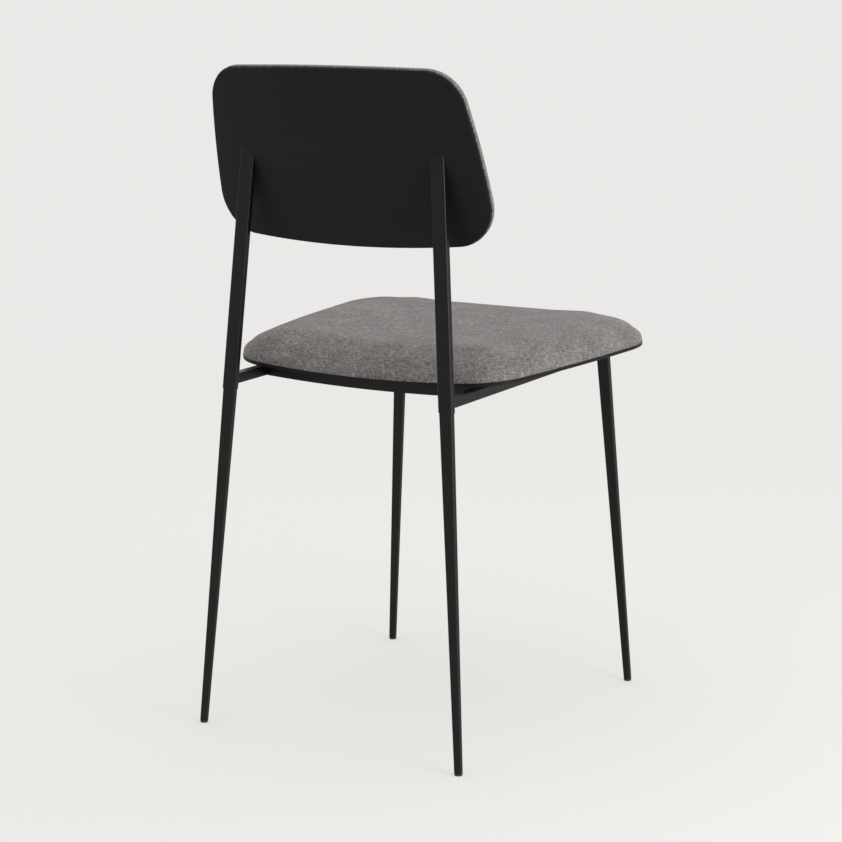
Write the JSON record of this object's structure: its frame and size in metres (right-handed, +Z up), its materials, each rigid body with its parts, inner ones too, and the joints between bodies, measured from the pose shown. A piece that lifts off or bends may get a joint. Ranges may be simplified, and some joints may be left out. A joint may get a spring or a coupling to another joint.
{
  "type": "dining chair",
  "caption": "Slim dining chair with tapered black steel legs, a dished padded seat and a curved padded backrest with a black plywood back.",
  "frame": {"origin": "on the floor, at the middle of the chair's overall width and depth", "axes": "+X to the sitter's left, +Y to the rear, +Z up; the chair faces -Y"},
  "size_m": [0.4412, 0.4467, 0.7898],
  "materials": {
    "frame_steel": "fine matt black powder coat",
    "glide_plastic": "matt",
    "spacer_rubber": "matt",
    "fixing_steel": "zinc plated",
    "stained_ply": "black stain under satin lacquer",
    "bare_ply": "unfinished",
    "foam": "open-cell foam",
    "cover_fabric": "woven warm grey melange"
  },
  "bodies": {
    "root": {"left_rear_leg": "frame_steel", "right_rear_leg": "frame_steel", "left_front_leg": "frame_steel", "right_front_leg": "frame_steel", "left_back_post": "frame_steel", "right_back_post": "frame_steel", "left_side_rail": "frame_steel", "right_side_rail": "frame_steel", "rear_crossbar": "frame_steel", "front_crossbar": "frame_steel", "seat_tabs": "frame_steel", "left_rear_glide": "glide_plastic", "right_rear_glide": "glide_plastic", "left_front_glide": "glide_plastic", "right_front_glide": "glide_plastic", "seat_spacers": "spacer_rubber", "seat_screws": "fixing_steel", "seat_tee_nuts": "fixing_steel", "back_screws": "fixing_steel", "seat_shell": "stained_ply", "back_shell": "stained_ply", "seat_board": "bare_ply", "back_board": "bare_ply", "seat_foam": "foam", "back_foam": "foam", "seat_cover": "cover_fabric", "back_cover": "cover_fabric"}
  },
  "joints": []
}
